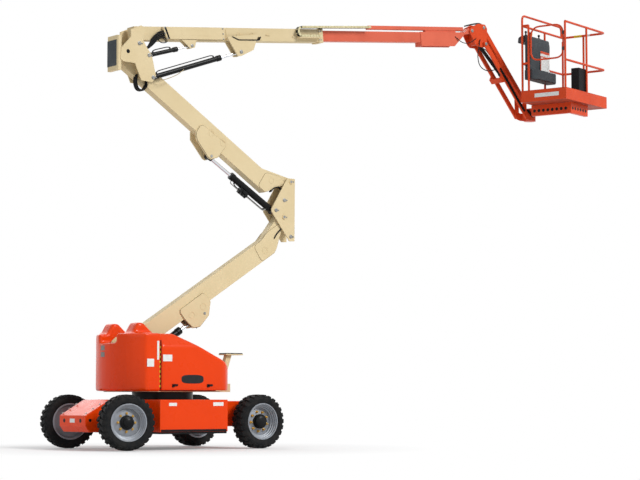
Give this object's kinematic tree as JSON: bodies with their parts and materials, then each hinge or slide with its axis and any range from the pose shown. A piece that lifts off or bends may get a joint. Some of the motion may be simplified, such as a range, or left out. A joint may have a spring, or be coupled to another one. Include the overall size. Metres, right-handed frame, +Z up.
{
  "type": "articulating boom lift",
  "caption": "Self-propelled articulating boom lift: wheeled chassis, slewing turntable, folding tower of parallel arms, telescopic boom, jib and rotating work platform.",
  "frame": {"origin": "bottom centre of the whole machine's bounding box, on the ground", "axes": "+X forward to the platform end, +Y to the far side, +Z up"},
  "size_m": [8.9682, 2.064, 6.41],
  "materials": {
    "orange_paint": "glossy orange-red paint",
    "axle_steel": "dark painted steel",
    "black_parts": "satin black paint",
    "tyre": "black solid rubber with lugs",
    "rim_silver": "silver paint",
    "tan_paint": "satin tan paint",
    "track_plastic": "black nylon links with pale side bars",
    "red_paint": "satin salmon-red paint",
    "console_grey": "dark grey textured plastic",
    "black_plastic": "black moulded plastic",
    "cylinder_black": "gloss black paint",
    "rod_chrome": "polished hard chrome"
  },
  "bodies": {
    "chassis": {"chassis_frame": "orange_paint", "steer_axle": "axle_steel", "drive_axle": "axle_steel", "slew_ring": "black_parts"},
    "tie_rod": {"tie_rod": "axle_steel"},
    "near_knuckle": {"near_steer_knuckle": "axle_steel"},
    "near_front_wheel": {"near_front_tyre": "tyre", "near_front_rim": "rim_silver"},
    "near_rear_wheel": {"near_rear_tyre": "tyre", "near_rear_rim": "rim_silver"},
    "far_knuckle": {"far_steer_knuckle": "axle_steel"},
    "far_front_wheel": {"far_front_tyre": "tyre", "far_front_rim": "rim_silver"},
    "far_rear_wheel": {"far_rear_tyre": "tyre", "far_rear_rim": "rim_silver"},
    "turntable": {"turntable_frame": "tan_paint", "tail_casting": "orange_paint", "boom_rest": "tan_paint", "near_battery_block": "black_parts", "far_battery_block": "black_parts"},
    "near_hood": {"near_front_hood": "orange_paint"},
    "far_hood": {"far_front_hood": "orange_paint"},
    "lower_arm": {"lower_arm": "tan_paint"},
    "mid_link": {"mid_link": "tan_paint"},
    "upper_arm": {"upper_arm": "tan_paint"},
    "upright": {"upright": "tan_paint"},
    "main_boom": {"main_boom": "tan_paint", "boom_cover": "tan_paint"},
    "cable_track": {"cable_track": "track_plastic"},
    "fly_boom": {"fly_boom": "red_paint", "cable_tray": "red_paint"},
    "jib_head": {"jib_head": "red_paint"},
    "jib": {"jib_arm": "red_paint"},
    "rotator": {"rotator_mount": "red_paint"},
    "platform": {"platform_support": "red_paint", "platform_frame": "red_paint", "control_console": "console_grey", "console_tray": "console_grey", "document_box": "black_plastic"},
    "gate": {"entry_gate": "red_paint"},
    "jib_link": {"jib_link": "red_paint"},
    "jib_lift_barrel": {"jib_lift_barrel": "cylinder_black"},
    "jib_lift_rod": {"jib_lift_rod": "rod_chrome"},
    "boom_lift_barrel": {"boom_lift_barrel": "cylinder_black"},
    "boom_lift_rod": {"boom_lift_rod": "rod_chrome"},
    "level_barrel": {"level_barrel": "cylinder_black"},
    "level_rod": {"level_rod": "rod_chrome"},
    "upper_lift_barrel": {"upper_lift_barrel": "cylinder_black"},
    "upper_lift_rod": {"upper_lift_rod": "rod_chrome"},
    "lower_lift_barrel": {"lower_lift_barrel": "cylinder_black"},
    "lower_lift_rod": {"lower_lift_rod": "rod_chrome"}
  },
  "joints": [
    {"name": "swing", "type": "hinge", "parent": "chassis", "child": "turntable", "pos_m": [-3.09409, 0.0952, 0.74], "axis": [0, 0, 1], "range_deg": [-177.5, 177.5]},
    {"name": "tower_lift", "type": "hinge", "parent": "turntable", "child": "lower_arm", "pos_m": [-3.69409, 0.0952, 1.33], "axis": [0, -1, 0], "range_deg": [-27, 27]},
    {"name": "mid_link_level", "type": "hinge", "parent": "lower_arm", "child": "mid_link", "pos_m": [-1.15305, 0.0952, 3.14446], "axis": [0, -1, 0], "range_deg": [-27, 27]},
    {"name": "upper_arm_lift", "type": "hinge", "parent": "mid_link", "child": "upper_arm", "pos_m": [-1.03505, 0.0952, 3.64146], "axis": [0, 1, 0], "range_deg": [-27, 27]},
    {"name": "upright_level", "type": "hinge", "parent": "upper_arm", "child": "upright", "pos_m": [-3.74884, 0.0952, 5.17316], "axis": [0, 1, 0], "range_deg": [-27, 27]},
    {"name": "lower_lift_pivot", "type": "hinge", "parent": "turntable", "child": "lower_lift_barrel", "pos_m": [-3.54409, 0.1352, 1.06], "axis": [0, -1, 0], "range_deg": [-27.01, 27.01]},
    {"name": "lower_lift_slide", "type": "slide", "parent": "lower_lift_barrel", "child": "lower_lift_rod", "axis": [0.832, 0, 0.5548], "range_m": [-0.1397, 0.1397]},
    {"name": "upper_lift_pivot", "type": "hinge", "parent": "mid_link", "child": "upper_lift_barrel", "pos_m": [-1.29205, 0.1352, 3.23246], "axis": [0, 1, 0], "range_deg": [-27.49, 27.49]},
    {"name": "upper_lift_slide", "type": "slide", "parent": "upper_lift_barrel", "child": "upper_lift_rod", "axis": [-0.8451, 0, 0.5346], "range_m": [-0.2217, 0.2217]},
    {"name": "boom_luff", "type": "hinge", "parent": "upright", "child": "main_boom", "pos_m": [-3.57584, 0.0952, 5.29616], "axis": [0, 1, 0], "range_deg": [-67, 20]},
    {"name": "boom_lift_pivot", "type": "hinge", "parent": "upright", "child": "boom_lift_barrel", "pos_m": [-3.35784, 0.0202, 4.86516], "axis": [0, 1, 0], "range_deg": [-63.14, 19.2]},
    {"name": "boom_lift_slide", "type": "slide", "parent": "boom_lift_barrel", "child": "boom_lift_rod", "axis": [0.9452, 0, 0.3266], "range_m": [-0.1546, 0.5131]},
    {"name": "level_pivot", "type": "hinge", "parent": "upright", "child": "level_barrel", "pos_m": [-3.42284, 0.0202, 5.15316], "axis": [0, 1, 0], "range_deg": [-69.27, 21.03]},
    {"name": "level_slide", "type": "slide", "parent": "level_barrel", "child": "level_rod", "axis": [0.9593, 0, 0.2823], "range_m": [-0.0678, 0.2223]},
    {"name": "fly_slide", "type": "slide", "parent": "main_boom", "child": "fly_boom", "axis": [0.9951, 0, 0.0993], "range_m": [-1.35, 0]},
    {"name": "cable_track_slide", "type": "slide", "parent": "main_boom", "child": "cable_track", "axis": [0.9951, 0, 0.0993], "range_m": [-0.675, 0]},
    {"name": "jib_head_level", "type": "hinge", "parent": "fly_boom", "child": "jib_head", "pos_m": [2.32061, 0.0952, 6.12891], "axis": [0, 1, 0], "range_deg": [-20, 67]},
    {"name": "jib_luff", "type": "hinge", "parent": "jib_head", "child": "jib", "pos_m": [2.56661, 0.0952, 5.95191], "axis": [0, -1, 0], "range_deg": [0, 137]},
    {"name": "jib_link_luff", "type": "hinge", "parent": "jib_head", "child": "jib_link", "pos_m": [2.55661, 0.0952, 6.20191], "axis": [0, -1, 0], "range_deg": [0, 137]},
    {"name": "rotator_level", "type": "hinge", "parent": "jib", "child": "rotator", "pos_m": [3.39, 0.0952, 4.94592], "axis": [0, -1, 0], "range_deg": [-137, 0]},
    {"name": "jib_lift_pivot", "type": "hinge", "parent": "jib_head", "child": "jib_lift_barrel", "pos_m": [2.56661, 0.1292, 5.95191], "axis": [0, -1, 0], "range_deg": [0, 134.17]},
    {"name": "jib_lift_slide", "type": "slide", "parent": "jib_lift_barrel", "child": "jib_lift_rod", "axis": [0.7324, 0, -0.6808], "range_m": [0, 0.4807]},
    {"name": "platform_rotate", "type": "hinge", "parent": "rotator", "child": "platform", "pos_m": [3.576, 0.0952, 5.09], "axis": [0, 0, 1], "range_deg": [-17, 163]},
    {"name": "gate_swing", "type": "hinge", "parent": "platform", "child": "gate", "pos_m": [3.25222, -1.0108, 5.09], "axis": [0, 0, -1], "range_deg": [0, 90]},
    {"name": "near_steer", "type": "hinge", "parent": "chassis", "child": "near_knuckle", "pos_m": [-4.09909, -0.5548, 0.355], "axis": [0, 0, 1], "range_deg": [-18.2, 43.8]},
    {"name": "far_steer", "type": "hinge", "parent": "chassis", "child": "far_knuckle", "pos_m": [-4.09909, 0.7452, 0.355], "axis": [0, 0, 1], "range_deg": [-18.2, 43.8]},
    {"name": "tie_rod_slide", "type": "slide", "parent": "chassis", "child": "tie_rod", "axis": [0, 1, 0], "range_m": [-0.0458, 0.1075]},
    {"name": "near_front_wheel_spin", "type": "hinge", "parent": "near_knuckle", "child": "near_front_wheel", "pos_m": [-4.12235, -0.65719, 0.355], "axis": [0.2215, 0.9751, 0], "continuous": true},
    {"name": "far_front_wheel_spin", "type": "hinge", "parent": "far_knuckle", "child": "far_front_wheel", "pos_m": [-4.07583, 0.84759, 0.355], "axis": [0.2215, 0.9751, 0], "continuous": true},
    {"name": "near_rear_wheel_spin", "type": "hinge", "parent": "chassis", "child": "near_rear_wheel", "pos_m": [-2.08909, -0.6598, 0.355], "axis": [0, 1, 0], "continuous": true},
    {"name": "far_rear_wheel_spin", "type": "hinge", "parent": "chassis", "child": "far_rear_wheel", "pos_m": [-2.08909, 0.8502, 0.355], "axis": [0, 1, 0], "continuous": true},
    {"name": "near_hood_swing", "type": "hinge", "parent": "turntable", "child": "near_hood", "pos_m": [-3.09409, -0.0948, 1.49], "axis": [-1, 0, 0], "range_deg": [0, 60]},
    {"name": "far_hood_swing", "type": "hinge", "parent": "turntable", "child": "far_hood", "pos_m": [-3.09409, 0.2852, 1.49], "axis": [1, 0, 0], "range_deg": [0, 60]}
  ],
  "couplings": [
    {"joint": "mid_link_level", "follows": "tower_lift", "ratio": -1},
    {"joint": "upper_arm_lift", "follows": "tower_lift", "ratio": 1},
    {"joint": "upright_level", "follows": "tower_lift", "ratio": -1},
    {"joint": "lower_lift_pivot", "follows": "tower_lift", "ratio": 0.9819},
    {"joint": "lower_lift_slide", "follows": "tower_lift", "m_per_rad": 0.2922},
    {"joint": "upper_lift_pivot", "follows": "tower_lift", "ratio": 0.9997},
    {"joint": "upper_lift_slide", "follows": "tower_lift", "m_per_rad": 0.4662},
    {"joint": "boom_lift_pivot", "follows": "boom_luff", "ratio": 0.9349},
    {"joint": "boom_lift_slide", "follows": "boom_luff", "m_per_rad": -0.4371},
    {"joint": "level_pivot", "follows": "boom_luff", "ratio": 1.0264},
    {"joint": "level_slide", "follows": "boom_luff", "m_per_rad": -0.1884},
    {"joint": "cable_track_slide", "follows": "fly_slide", "ratio": 0.5},
    {"joint": "jib_head_level", "follows": "boom_luff", "ratio": -1},
    {"joint": "jib_link_luff", "follows": "jib_luff", "ratio": 1},
    {"joint": "rotator_level", "follows": "jib_luff", "ratio": -1},
    {"joint": "jib_lift_pivot", "follows": "jib_luff", "ratio": 0.9757},
    {"joint": "jib_lift_slide", "follows": "jib_luff", "m_per_rad": 0.2002},
    {"joint": "far_steer", "follows": "near_steer", "ratio": 1},
    {"joint": "tie_rod_slide", "follows": "near_steer", "m_per_rad": 0.138}
  ]
}
